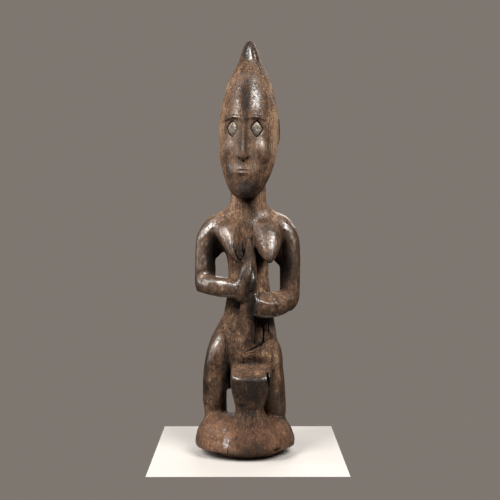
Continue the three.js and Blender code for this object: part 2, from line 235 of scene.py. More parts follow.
for side in (-1, 1):
    clay.add(ball((side * 13 - 2, 20, 117), (15.5, 15.5, 19)), 6)  # buttock
    clay.add(ball((side * 17, 16, 232), (15, 9, 17)), 8)  # shoulder blade
    clay.add(ball((side * 34.6, 6, 224 - side * 4), (10.2, 10, 18)), 5)  # armpit

RIGHT_LEG = [
    (-34.8, 4, 26, 11.7, 14, 14, 2.4), (-35.4, 2, 46, 12.2, 15, 15, 2.6), (-36, -2, 60, 13, 16, 17, 2.8),
    (-35, -7, 84, 12.9, 18.5, 19, 2.8), (-32.4, -8, 104, 12.4, 20, 21, 2.6),
    (-26.5, -3, 119, 13.3, 21, 22, 2.3), (-19, 4, 133, 12.7, 19, 20), (-12, 6, 144, 10, 15, 15),
]
LEFT_LEG = [
    (29, 6, 24, 11.6, 13, 13, 2.4), (28.6, 3, 44, 12.2, 14.5, 15, 2.6), (27.4, -1, 60, 12.7, 16, 17, 2.7),
    (25.8, -6, 85, 12.7, 18, 19, 2.6), (21.6, -6, 104, 13, 20, 21, 2.5), (17.4, 0, 119, 13.3, 21, 21, 2.3),
    (14.8, 5, 133, 12.7, 19, 19), (12, 6, 144, 10, 15, 15),
]
clay.add(limb(RIGHT_LEG), 5)
clay.add(limb(LEFT_LEG), 5)

# The lap: its top is a ledge that rises to the figure's left hip.
lap = sub_clay(limb(
    [(3, -16, 70, 11, 6, 6), (3, -12, 84, 19, 14, 15), (4, -12, 99, 21.5, 15, 15),
     (6, -12, 116, 22, 20, 15), (8, -6, 132, 20, 18, 14)],
    level=True,
))
LEDGE_AT, INTO_LAP = (9, -26, 115.5), (0.335, 0.246, -0.909)
lap.cut(half_space(LEDGE_AT, INTO_LAP, (-40, -60, 90), (50, 30, 150)), 1)
clay.add(Grid(lap.f, lap.low), 7)
clay.add(ball((21.5, -14, 104), (13, 14, 17)), 8)  # the lap runs on into the left thigh
clay.add(ball((-20, 5, 84), (9, 11, 19)), 4)  # the gap beside the right leg ends under this
BELLY = [
    (-6, -14, 78, 7, 6, 6), (-7, -13, 98, 15, 14.6, 14), (-7, -14, 116, 15.5, 15.8, 14),
    (-6, -9.5, 136, 15, 15, 12), (-4, -2, 154, 13, 12, 11),
]
clay.add(limb(BELLY, level=True), 5)
recess = sub_clay(ball((18, -22, 129), (10.5, 11, 19)))
recess.cut(half_space(LEDGE_AT, [-v for v in INTO_LAP], (-40, -60, 90), (50, 30, 160)), 0.5)
clay.cut(Grid(recess.f, recess.low), 1)

# The cup, with its top cut to a slope that faces the viewer.
cup = sub_clay(limb(
    [(2, -27, 34, 15.5, 12.5, 11, 2.3), (1.8, -27, 48, 14.6, 12.8, 11.5, 2.3),
     (1.8, -27.5, 60, 16.8, 15.5, 13, 2.7), (2.3, -28, 72, 19.8, 18.5, 14.5, 3.2),
     (3.4, -28, 84, 21.8, 20, 15, 3.8), (3.6, -28, 96, 20.8, 19, 13, 3), (3.4, -27, 106, 17, 17, 11, 2.2)],
    level=True,
))
cup.cut(half_space((3, -48, 86), (0, 0.5, -0.866), (-40, -70, 60), (50, 10, 120)), 2.6)
clay.add(Grid(cup.f, cup.low), 2.5)

# The foot: a dome with a mound for each of the figure's feet and a broad facet in front.
clay.add(limb(
    [(1, -2, -6, 37, 43, 40), (0, -2, 2, 43.5, 49, 44), (-2.4, -2, 9.5, 52.2, 53.5, 50, 2.1),
     (-3.4, -1, 19, 50.6, 49.5, 47, 2.1), (-4.2, 0, 27, 46, 42, 42, 2.1), (-4.8, 1, 32, 37, 33, 34),
     (-5, 2, 35, 22, 20, 22)],
    level=True,
), 4)
clay.add(ball((-29.5, -13, 14), (25.5, 32, 29.5)), 5)
clay.add(ball((28, -8, 11), (21, 29, 27)), 5)
clay.add(limb(
    [(7, -20, 6, 31, 33, 20), (7, -23, 17, 31, 32, 20, 2.8), (5, -25, 31, 23, 22.5, 15, 2.8),
     (2, -27, 49, 14, 13, 12, 2.4)],
    level=True,
), 3)


def undercut(xyz):
    """The wedge of air between the foot's lower edge and the floor."""
    x, y, z = xyz
    out = np.hypot((x + 1.5) / 51, (y + 1.5) / 52)
    return (0.8 * (z - 9 * smoothstep(0.68, 1.0, out))).astype(np.float32)


clay.cut(Shape(undercut, (-64, -64, -8), (64, 58, 14), room=0), 1.6)
clay.cut(half_space((0, 0, 0), (0, 0, 1), (-70, -70, -10), (70, 70, 6)), 0.8)

# Arms: the upper arm's long oval section is turned, so that its inner face looks towards the viewer.
for side, upper, fore in (
    (-1,
     [(-20, 4, 238, 8, 10, 10), (-33, 3.5, 239.5, 13, 14.5, 14.5), (-42.6, 2.5, 230, 11.8, 14, 14),
      (-45.7, 1, 212, 9.6, 13.8, 13.5, 2.2), (-45.9, -1, 194, 9.3, 13.8, 13.5, 2.2),
      (-46, -3, 179, 9.3, 12, 12, 2.2), (-46.6, -4, 172, 8, 9, 9)],
     [(-50, 1, 181, 6, 6, 6), (-45, -8, 181, 9.9, 9.5, 9.5, 2.3), (-36, -18, 180, 10.2, 10, 10, 2.5),
      (-25, -25, 178.8, 10.2, 10.2, 9.6, 2.6), (-13, -29.5, 177.5, 9.6, 9.6, 9, 2.5),
      (-3, -33, 177, 9, 8, 8, 2.3)]),
    (1,
     [(20, 4, 238, 8, 10, 10), (33, 3.5, 239.5, 13, 14.5, 14.5), (42, 2.5, 230, 11.8, 14, 14),
      (44.9, 1, 210, 9.6, 13.8, 13.5, 2.2), (45.1, -1, 186, 9.3, 13.8, 13.5, 2.2),
      (44, -3, 164, 9.3, 12, 12, 2.2), (40, -4, 154, 6, 8, 8)],
     [(46.5, 3, 166, 6, 6, 6), (40, -6, 163.5, 11.5, 10.5, 10.5, 2.3), (29, -18, 160.5, 13, 12, 12, 2.8),
      (16, -27, 160, 13.6, 11.4, 11, 3), (5, -31, 161, 12, 9, 9, 2.6)]),
):
    clay.add(limb(upper, deep_way=(-side * 0.5, 1, 0)), 6)
    fore = sub_clay(limb(fore))
    if side > 0:  # its top slopes down to the front
        fore.cut(half_space((29, -18, 173), (-0.38, 0.53, -0.757), (-20, -60, 140), (70, 20, 200)), 1.2)
    clay.add(Grid(fore.f, fore.low), 3)

# The staff, then the hands on it.
STAFF = [
    (1, -17, 100, 7.6, 7.6, 7.6, 2.6), (0.4, -20, 120, 8.4, 8.4, 8.4, 3), (0, -24, 150, 8.4, 8.6, 8.4, 3),
    (1.6, -28, 170, 7.6, 8.6, 8.4, 2.2), (2.2, -30, 190, 6.6, 8, 8), (2.2, -26, 208, 5.6, 7, 7),
    (2, -19, 224, 3.8, 5.5, 5.5), (1.6, -15, 234, 1.6, 2, 2),
]
clay.add(limb(STAFF, deep_way=(0.42, 1, 0)), 1.5)
clay.add(limb([(-8, -31, 166, 4, 5, 5), (-6.5, -34, 174, 7, 7, 7), (-4, -34.5, 187, 7.4, 7, 7),
               (-1, -32, 201, 5.6, 5.6, 5.6), (1, -26, 214, 3, 3.4, 3.4), (1.6, -21, 222, 1, 1, 1)]), 3)
for x, top in ((-5.6, 208), (-1.8, 213), (2, 211)):
    clay.add(limb([(x - 2.2, -37.5, 184, 2.2, 3, 3), (x, -37.4, 196, 2.2, 3, 3),
                   (0.6 * x + 1.2, -31, top - 2, 1.5, 2, 2), (0.5 * x + 1.3, -27, top + 4, 0.5, 0.6, 0.6)],
                  around=24), 1.2)
clay.add(limb([(4, -36, 178, 3, 4, 4), (5.2, -37.5, 187, 2.6, 3.6, 3.6), (5, -36, 197, 1.4, 2, 2)],
              around=24), 1.2)

# Breasts: two broad cones. The inner side of the right one is broken away.
UP = (0, 0, 1)
clay.add(limb(
    [(18.5, 2, 242, 18, 15, 15), (19.6, -9, 236, 17.4, 14.4, 14.4), (20.8, -20, 226.5, 14.8, 12, 12),
     (21.6, -28.5, 216.5, 10.4, 8.2, 8.2), (22.2, -33.6, 210, 5.8, 5, 5), (22.6, -36.6, 206, 2, 2, 2)],
    deep_way=UP,
), 4.5)
right = sub_clay(limb(
    [(-18.5, 2, 242, 18, 15, 15), (-17, -9, 236, 17.4, 14.4, 14.4), (-13, -20, 226.5, 14.8, 12, 12),
     (-11.2, -28.5, 216.5, 10.4, 8.2, 8.2), (-10.6, -33.4, 210, 5.8, 5, 5),
     (-10.2, -36.2, 206.5, 2.2, 2.2, 2.2)],
    deep_way=UP,
))
right.cut(half_space((-10.5, -34, 209), (-0.74, 0.62, -0.26), (-40, -60, 180), (20, 20, 260)), 1)
clay.add(Grid(right.f, right.low), 4)
# What is left between the broken breast and the staff.
clay.add(limb([(-9, -31, 206, 2, 2, 2), (-4, -29, 211, 2.4, 2.6, 2.6), (0, -25, 219, 2, 3, 3),
               (1, -19, 230, 1.4, 2, 2)], around=24), 2)

# The head is made upright about its own axis and then turned. Its levels follow the usual rules of drawing.
CHIN, CROWN, HEAD_HALF, FACE = 274.0, 414.0, 30.4, -36.0
EYE_LEVEL = (CHIN + CROWN) / 2
EYE = 2 * HEAD_HALF / 5
BROW = EYE_LEVEL + 0.75 * EYE
NOSE = (BROW + CHIN) / 2
MOUTH = NOSE - (NOSE - CHIN) / 3
TURN = np.array(Matrix.Rotation(np.radians(-8), 3, "Z") @ Matrix.Rotation(np.radians(0.8), 3, "Y"))
PIVOT = np.array([0, 0, CHIN])
PLACE = np.array([0, 2, 0])


def on_head(points):
    return (np.array(points, float) - PIVOT) @ TURN.T + PIVOT + PLACE


def own_axes(xyz):
    """The head's own coordinates of the grid's points."""
    p = [c - v for c, v in zip(xyz, PIVOT + PLACE)]
    return [sum(TURN[i][j] * p[i] for i in range(3)) + PIVOT[j] for j in range(3)]


def head_limb(rows, **how):
    return limb(rows, move=on_head, **how)


def head_ball(middle, radii):
    return ball(on_head(middle), radii, TURN.T)


HEAD = [
    (0, -22, CHIN, 7, 6, 6), (0, -20.5, 277.5, 12.5, 12.5, 11), (0, -16, 286, 18.4, 20.4, 20),
    (0, -9, 300, 24.2, 28, 28), (0, -5, 315, 28.3, 32.4, 33), (0, -2, 331, 29.8, 34.6, 35),
    (0, 0, 347, 30.2, 36, 37), (0, 1.5, 362, 29.5, 36.4, 37), (0, 3, 378, 27.6, 35, 35.6),
    (0, 4, 392, 24.4, 31, 31.6), (0, 4, 402, 20.4, 26.4, 27), (0, 4, 411, 15.6, 20, 21),
    (0, 3.5, 419, 11.6, 15, 15), (0, 2.5, 427, 9, 12, 12), (0, 1, 434, 6.2, 8.6, 9), (0, 0, 438, 3.8, 5, 5),
    (0, 0, 440, 1.2, 1.2, 1.2),
]
head = sub_clay(head_limb(HEAD, level=True, steps=180, around=96))
skin = head.f.copy()
for side in (-1, 1):
    head.add(head_ball((side * 15, -26, 322), (10, 9, 13)), 8)  # cheek
    head.cut(head_ball((side * EYE * 1.04, FACE - 0.6, EYE_LEVEL - 1.5), (9.6, 6, 9.4)), 4)
    brow = [(side * 2.5, FACE, BROW + 1.4, 1.6, 1.8, 1.8), (side * 12, FACE + 2, BROW + 3, 2, 2.2, 2.2),
            (side * 21, FACE + 8.6, BROW + 0.5, 1.4, 1.6, 1.6)]
    head.add(head_limb(brow, around=24), 4)
head.add(head_ball((0, -31, 300), (15, 7.4, 12)), 7)  # about the mouth
head.add(head_ball((0, -31, 281), (9, 7, 8)), 5)  # chin
head.add(head_limb(
    [(0, FACE + 2, BROW + 3, 3, 3.4, 3.4), (0, FACE - 1, EYE_LEVEL - 2, 2.4, 4.5, 4.5),
     (0, FACE - 3.4, NOSE + 9, 3.2, 5.6, 5.6), (0, FACE - 4, NOSE + 2.5, 4.4, 6, 6),
     (0, FACE - 2, NOSE - 1, 3.6, 4, 4)],
    around=40,
), 2.5)
for side in (-1, 1):
    head.add(head_ball((side * 4.2, FACE - 2.2, NOSE + 2.6), (2.6, 3.6, 2.8)), 1.6)
    head.cut(head_ball((side * 3, FACE - 4, NOSE - 0.8), (1.3, 2, 1.5)), 0.6)
for level, high in ((MOUTH + 2.1, 2.1), (MOUTH - 2.3, 2.5)):
    lip = [(-1.05 * EYE, FACE + 4.6, MOUTH, 1, 1.6, 1.6), (0, FACE - 1.4, level, high, 3.4, 3.4),
           (1.05 * EYE, FACE + 4.6, MOUTH, 1, 1.6, 1.6)]
    head.add(head_limb(lip, around=32), 1.2)
ear = [(30.6, 5, EYE_LEVEL - 12, 1.4, 2, 2), (30.6, 11, EYE_LEVEL - 6, 1.6, 2.2, 2.2),
       (30, 15, EYE_LEVEL + 4, 1.8, 2.4, 2.4), (29.8, 10, EYE_LEVEL + 13, 1.6, 2.2, 2.2),
       (30.2, 3, EYE_LEVEL + 11, 1.2, 1.6, 1.6)]
for side in (-1, 1):
    head.add(head_ball((side * 28, 8, EYE_LEVEL + 1), (3.2, 7, 13)), 2)
    head.add(head_limb([(side * x, *rest) for x, *rest in ear], around=24), 1.2)


def hair(xyz):
    """A cap that stands proud of the head, behind an edge from the crest across the temples to the ears."""
    own = own_axes(xyz)
    side_level = [364, 376, 384, 391, 400, 406, 412, 419, 424, 440]
    side_edge = [34, 26.8, 23.4, 19.6, 14.6, 11.4, 9, 6.4, 4.2, 0]
    beside = np.interp(own[2], side_level, side_edge) - np.abs(own[0])
    level = [300, 318, 322, 335, 352, 364, 376, 391, 440]
    edge = [60, 34, 8, 6, 3, 0, -7, -9, -2]
    behind = np.interp(own[2], level, edge) - own[1]
    return (skin - 1.5 * smoothstep(-1.2, 1.2, np.minimum(behind, beside))).astype(np.float32)


head.add(Shape(hair, head.low * VOXEL, (head.low + head.f.shape) * VOXEL, room=0), 0.7)
head.add(head_limb(  # the edge is sharpest on the left
    [(2.5, -9.8, 424, 0.7, 1.1, 1.1), (4.8, -15, 410, 1, 1.5, 1.5), (9.5, -18.8, 400, 0.9, 1.3, 1.3),
     (15.2, -20.8, 392, 0.5, 0.9, 0.9)],
    around=16,
), 0.8)
head.add(head_limb(
    [(0, -11.6, 414.5, 1.6, 2.4, 2.4), (0, -10.4, 418, 2.8, 3.4, 3.4), (0, -7.6, 427, 2.4, 3, 3),
     (0, -3.6, 436, 1.6, 2, 2)],
    around=24,
), 1.4)
clay.add(Grid(head.f, head.low), 3)

# Sockets for the eye plates: lozenges that follow the cheeks' slope.
PLATE_TURN = 0.42
PLATE_HALF = (EYE / 2, 0.62 * EYE)


def plate_axes(side):
    """The plate's middle on the head, and its own axes as rows: across, up, outward."""
    c, s = np.cos(side * PLATE_TURN), np.sin(side * PLATE_TURN)
    rows = np.array([(c, s, 0), (0, 0, 1), (s, -c, 0)])
    return on_head((side * EYE, FACE + 4.6, EYE_LEVEL)), rows @ TURN.T


def lozenge(u, v, power=1.35):
    return (np.abs(u / PLATE_HALF[0]) ** power + np.abs(v / PLATE_HALF[1]) ** power) ** (1 / power)


def socket(side):
    middle, axes = plate_axes(side)

    def at(xyz):
        p = [c - m for c, m in zip(xyz, middle)]
        u, v, w = (sum(axes[i][j] * p[j] for j in range(3)) for i in range(3))
        across = (lozenge(u, v) - 1) * PLATE_HALF[0] * 0.9 - 0.8
        return np.maximum(across, -1.6 - w).astype(np.float32)

    return Shape(at, middle - 10, middle + 10, room=0)


for side in (-1, 1):
    clay.cut(socket(side), 0.3)

# Cracks and tools' lines, as seen from the front: points (x, z), half widths, depth, and from and to which y.
LINES = {
    "chest": ([(5.3, 257), (5.4, 247), (4.7, 239), (4.3, 230),
               (4.6, 221)], (0.2, 0.45, 0.4, 0.5, 0.3), 2.6, (-30, -5)),
    "break_a": ([(-14, 218), (-11, 210), (-8, 207), (-5, 212),
                 (-3, 219)], (0.4, 0.9, 1.1, 0.9, 0.4), 2.6, (-50, -5)),
    "break_b": ([(-5, 227), (-6.4, 218), (-3, 210)], (0.3, 0.8, 0.4), 2.2, (-50, -10)),
    "break_c": ([(-15.5, 225), (-12.6, 217), (-13, 211)], (0.3, 0.6, 0.4), 1.8, (-50, -10)),
    "ledge": ([(-5, 110), (4, 113.4), (14, 117.6), (24, 123)], (0.3, 0.8, 1, 0.6), 3, (-50, -12)),
    "facet": ([(-13, 42), (-19, 33), (-27, 22), (-29, 12)], (0.4, 1.5, 1.8, 0.6), 1.1, (-70, -34)),
    "forearm": ([(14, 179), (20.9, 172), (27, 165.6), (29.6, 160.3), (30.2, 154), (29.6, 145)],
                (0.25, 0.4, 0.5, 0.75, 0.6, 0.5), 3, (-50, 6)),
    "hand": ([(11.4, 186), (11.2, 175), (11.6, 164)], (0.3, 0.7, 0.4), 2, (-50, -20)),
    "wrist_a": ([(-39, 183), (-39.2, 173)], 0.4, 1.3, (-40, -5)),
    "wrist_b": ([(-29, 180), (-29.3, 171)], 0.3, 1, (-40, -10)),
    "wrist_c": ([(-12, 181), (-13, 172)], 0.35, 1.1, (-50, -20)),
    "cup": ([(20.4, 90), (21.3, 82), (21.6, 75), (20.2, 64)], (0.9, 1.1, 0.6, 0.3), 5, (-60, -25)),
    "recess": ([(14.4, 141), (16.8, 131), (16.2, 121), (12.6, 114)], (0.6, 1.05, 0.95, 0.4), 5, (-35, 5)),
    "recess_b": ([(21.6, 138), (21.4, 127)], (0.5, 0.4), 3, (-35, 5)),
    "foot": ([(-21.4, 19), (-20.6, 8)], (0.3, 0.6), 2, (-70, -40)),
    "thigh": ([(-27.5, 139), (-24.6, 126), (-23.4, 116), (-25.4, 100)],
              (0.2, 0.6, 0.7, 0.2), 2.2, (-40, 0)),
    "hair_a": ([(17.5, 391), (20.5, 383), (22.6, 374), (24.4, 370)], 0.4, 1, (-50, 0)),
    "hair_b": ([(21, 395), (24.4, 384), (26.6, 372)], 0.35, 0.9, (-50, 0)),
    "hair_c": ([(5.6, 428), (6.8, 420), (9.4, 410), (13.6, 401), (18.8, 392.6)],
               (0.3, 0.7, 0.85, 0.7, 0.3), 1.7, (-50, 8)),
    "staff": ([(7.4, 150), (7, 132), (6.4, 118)], (0.4, 0.7, 0.5), 2.5, (-40, -20)),
}
for line, wide, deep, (near, far) in LINES.values():
    spread = np.array(line)
    low, high = spread.min(0) - 4, spread.max(0) + 4
    score(clay, line, wide, deep, (low[0], near, low[1]), (high[0], far, high[1]))
# Short cuts of a tool: x, z, length, half width.
MARKS = [
    (-4, 109, 3.5, 0.6), (1, 106.5, 5, 0.5), (-3, 103, 4, 0.6), (4, 110.4, 3, 0.5), (-8, 112, 2.4, 0.5),
    (6, 104, 3, 0.4), (-6, 99.5, 3, 0.4), (-14, 121, 2, 0.7), (-11, 127, 2.4, 0.6), (-16, 131, 2, 0.5),
    (-2, 100.8, 4, 0.4),
]
for x, z, long, wide in MARKS:
    score(clay, [(x, z), (x + long, z - 0.4)], wide, 1.2, (x - 4, -50, z - 4), (x + long + 4, -10, z + 4))
# Chips and worn places: middle, radii.
CHIPS = [
    ((-46.5, -13, 50), (2.4, 5, 3)), ((-46, -12, 42), (2.6, 6, 2)), ((-41, -20, 41), (4, 5, 2)),
    ((-19, -42, 39), (2.6, 3, 1.6)), ((-23, -40, 38), (2, 3, 1.3)), ((-15.5, -43, 36), (1.6, 3, 1.2)),
    ((37, -42, 20), (4, 6, 2.6)), ((31, -48, 12), (5, 5, 2)), ((-50, -16, 12), (3, 8, 2.4)),
    ((50, -12, 12), (3, 9, 2)), ((22.6, -30, 222), (0.9, 4, 1.3)), ((-6, -41.6, 57), (2.6, 1.6, 1.1)),
]
for middle, radii in CHIPS:
    clay.cut(ball(middle, radii), 0.8)

# Meshing.
grid = vdb.FloatGrid(background=FAR)
grid.transform = LATTICE
grid.copyFromArray(clay.f, ijk=tuple(int(v) for v in clay.low))
points, _, quads = grid.convertToPolygons(isovalue=0.0, adaptivity=0.0)


def sample(field, p):
    """The grid's distances at points, in between its own."""
    q = p / VOXEL - clay.low
    i = np.clip(np.floor(q).astype(int), 0, np.array(field.shape) - 2)
    t = np.clip(q - i, 0, 1)
    total = 0
    for corner in range(8):
        d = np.array([corner >> 2 & 1, corner >> 1 & 1, corner & 1])
        share = np.prod(np.where(d, t, 1 - t), axis=1)
        total = total + share * field[tuple((i + d).T)]
    return total


def noise(p, size, seed=0):
    """Smooth value noise from -1 to 1, with lumps about size across. size may differ along the axes."""
    q = p / np.array(size, float) + seed * 17.31
    i = np.floor(q).astype(np.int64)
    t = q - i
    t = t * t * t * (t * (6 * t - 15) + 10)
    total = 0
    for corner in range(8):
        d = np.array([corner >> 2 & 1, corner >> 1 & 1, corner & 1])
        k = i + d
        h = (k[:, 0] * 73856093 ^ k[:, 1] * 19349663 ^ k[:, 2] * 83492791 ^ seed * 2654435761) & 0xFFFFFFFF
        h = (h ^ (h >> 13)) * 1274126177 & 0xFFFFFFFF
        h = (h ^ (h >> 16)) & 0xFFFF
        share = np.prod(np.where(d, t, 1 - t), axis=1)
        total = total + share * (h / 32767.5 - 1)
    return total


def put_in_scene(name, data):
    piece = bpy.data.objects.new(name, data)
    bpy.context.scene.collection.objects.link(piece)
    return piece


def mesh_of(name, points, faces):
    """A piece made from points in millimetres and faces."""
    mesh = bpy.data.meshes.new(name)
    mesh.from_pydata((points / 1000).tolist(), [], faces)
    mesh.validate()
    return put_in_scene(name, mesh)


def coords(piece):
    co = np.empty(len(piece.data.vertices) * 3, np.float32)
    piece.data.vertices.foreach_get("co", co)
    return co.reshape(-1, 3) * 1000


def normals(piece):
    n = np.empty(len(piece.data.vertices) * 3, np.float32)
    piece.data.vertex_normals.foreach_get("vector", n)
    return n.reshape(-1, 3)


# The carver's hand: long waves, and small flats as an adze and a knife leave them. The break is splintered.
figure = mesh_of("carved_wood", points, quads.tolist())
at, out = coords(figure), normals(figure)
FLAT = 7.5  # about how far apart the flats are
MOST_TRIED = 9000
chance = np.random.default_rng(11)
order = chance.permutation(len(at))[:MOST_TRIED]
flats = KDTree(len(order))
taken = set()
for k in order:
    cell = tuple((at[k] // FLAT).astype(int))
    if cell not in taken:
        taken.add(cell)
        flats.insert(at[k], k)
flats.balance()
nearest = np.array([flats.find(p)[1] for p in at])
fall = np.einsum("ij,ij->i", at[nearest] - at, out[nearest])
same = np.clip(np.einsum("ij,ij->i", out[nearest], out), 0, 1) ** 2
calm = np.clip((at[:, 2] < 266) + smoothstep(300, 350, at[:, 2]) * 0.5, 0, 1)
move = np.clip(fall, -0.5, 0.5) * same * 0.5 * calm
uneven = 0.32 * noise(at, 24, 1) + 0.16 * noise(at, 8, 2) + 0.07 * noise(at, (1.6, 1.6, 9), 3)
move += uneven * (0.4 + 0.6 * calm)
broken = smoothstep(13, 8, np.linalg.norm((at - (-10, -29, 214)) / (1, 1.3, 1.1), axis=1))
broken *= smoothstep(0, -4, at[:, 0]) * smoothstep(200, 204, at[:, 2])
move += broken * (0.9 * noise(at, (2.2, 2.2, 6), 4) + 0.5 * noise(at, (1.3, 1.3, 3), 5))
low_foot = smoothstep(60, 30, at[:, 2])
move -= low_foot * 0.3 * smoothstep(0.35, 0.8, noise(at, (4, 4, 2.4), 6))
move *= smoothstep(0, 1.5, at[:, 2])
figure.data.vertices.foreach_set("co", ((at + out * move[:, None]) / 1000).astype(np.float32).ravel())
figure.data.update()

# Fewer triangles, where the surface is calm.
MOST_TRIANGLES = 190000
thin = figure.modifiers.new("thin", "DECIMATE")
thin.ratio = min(1, MOST_TRIANGLES / (2 * len(figure.data.polygons)))
bpy.context.view_layer.update()
dg = bpy.context.evaluated_depsgraph_get()
mesh = bpy.data.meshes.new_from_object(figure.evaluated_get(dg))
figure.modifiers.clear()
figure.data = mesh
mesh.shade_smooth()

at, out = coords(figure), normals(figure)
reach = {d: sample(clay.f, at + out * d) / d for d in (2.5, 6)}
inner = -sample(clay.f, at - out * 3) / 3


def paint(name, values):
    layer = figure.data.attributes.new(name, "FLOAT", "POINT")
    layer.data.foreach_set("value", np.ascontiguousarray(values, np.float32))


def blobs(spots):
    """The sum of soft spots at the vertices, each given as (middle, radii, weight)."""
    total = np.zeros(len(at))
    for middle, radii, weight in spots:
        d = (((at - middle) / radii) ** 2).sum(1)
        total += weight * np.exp(-(d**1.5))
    return total


# Where the wood is lighter and dusty, or darker. Some darker spots are painted shade, as noted at their rows.
TONE_AND_SHADE = [
    ((-14, -8, 268), (12, 20, 16), 0.7), ((15, -8, 268), (10, 20, 16), 0.4),
    # (3, -18, 264): the neck's front band, a darker patina with painted shade.
    ((3, -18, 264), (5, 10, 13), -0.7), ((-32, 4, 254), (22, 18, 10), 0.8),
    ((34, 4, 255), (20, 16, 10), 0.7), ((-6, -20, 240), (16, 14, 12), 0.1),
    ((-10, -31, 213), (7, 9, 9), -0.3), ((-30, -12, 350), (12, 17, 70), 0.85),
    ((31, -12, 345), (12, 17, 70), 1.05), ((0, -34, 330), (24, 10, 44), 0.3),
    ((18, -12, 398), (12, 18, 20), 0.5), ((-16, -10, 398), (10, 16, 18), 0.45),
    # (-3, -36, 380) and (1, -10, 428): the forehead's and the crest's front bands, a darker patina with
    # painted shade.
    ((-3, -36, 380), (4.6, 8, 34), -1), ((1, -10, 428), (5, 10, 16), -0.7),
    ((-15, -28, 372), (6, 10, 22), 0.2), ((16, -28, 352), (12, 10, 9), 0.35),
    # (0, -34, 281): painted shade under the chin.
    ((0, -34, 281), (13, 12, 9), -0.9), ((18, -8, 192), (12, 16, 30), 0.7),
    ((-16, -8, 200), (8, 16, 22), 0.4), ((24, -16, 173), (22, 18, 7), 0.3),
    ((-28, -8, 190), (24, 12, 5), 0.5), ((-26, -6, 146), (8, 20, 26), 0.5),
    # (-9, -18, 164): painted shadow under the right forearm. (3, -30, 190) here and (4, -38, 140) below: the
    # staff's front, a darker patina with painted shade.
    ((-9, -18, 164), (5, 10, 10), -0.8), ((3, -30, 190), (4, 14, 20), -0.4),
    ((-10, -28, 126), (8, 10, 30), 0.05), ((4, -38, 140), (5, 7, 44), -1.3),
    ((3, -42, 178), (6, 6, 14), -0.8), ((-4, -40, 192), (8, 6, 14), -0.15),
    ((-28, -28, 176), (32, 14, 9), 0.35), ((26, -28, 166), (20, 16, 8), 0.3),
    ((31, -24, 84), (3.5, 10, 26), 0.5), ((24, -24, 84), (3, 10, 30), -0.6),
    ((-24, -24, 234), (12, 12, 18), 0.2), ((2, -24, 218), (4, 8, 12), -0.35),
    ((10, -30, 108), (22, 14, 8), 0.15), ((20, -10, 130), (6, 14, 20), 0.3),
    ((18, -30, 106), (14, 14, 10), 0.15), ((-38, -30, 118), (9, 12, 18), 0.1),
    # (-48, -10, 90) and (-24, -16, 84): painted shade on the right leg's outer side and in the gap beside it.
    ((-48, -10, 90), (6, 20, 44), -0.6), ((-24, -16, 84), (4, 16, 30), -0.7),
    ((-35, -28, 70), (8, 10, 30), 0.3), ((26, -26, 96), (10, 12, 24), 0.35),
    ((38, -12, 90), (6, 22, 50), -0.2), ((3, -44, 92), (20, 10, 4), 0.25),
    # (4, -30, 101): painted shade in the crease behind the cup's top. (3, -48, 74) and (2, -42, 54) below it:
    # painted shade on the cup's front, darkest at the top.
    ((4, -30, 101), (20, 6, 4), -0.5), ((3, -48, 74), (26, 12, 13), -0.75),
    ((2, -42, 54), (16, 10, 12), -0.3), ((-34, -28, 22), (26, 30, 18), 0.5),
    ((4, -50, 18), (20, 14, 24), -0.45), ((34, -34, 18), (20, 22, 16), 0.1),
    ((0, 0, -3), (80, 80, 6), -0.6), ((0, 40, 20), (50, 30, 24), 0.4), ((8, -34, 109), (16, 8, 4), 0.5),
    # (8, -26, 123): painted shade in the recess above the ledge. (-37, -6, 210) and (38, -4, 203): painted
    # shade on the inner faces of the upper arms. (11, -14, 208): painted shade in the hollow under the left
    # breast.
    ((8, -26, 123), (12, 12, 6), -0.6), ((-37, -6, 210), (8, 16, 21), -1.5),
    ((38, -4, 203), (7, 16, 28), -1.5), ((11, -14, 208), (6, 16, 9), -1.2),
    ((0, 26, 330), (40, 20, 70), 0.25), ((28, -12, 250), (12, 14, 12), 0.3),
    ((0, 26, 190), (20, 14, 60), 0.35), ((-46, -12, 44), (8, 10, 9), 0.7),
]
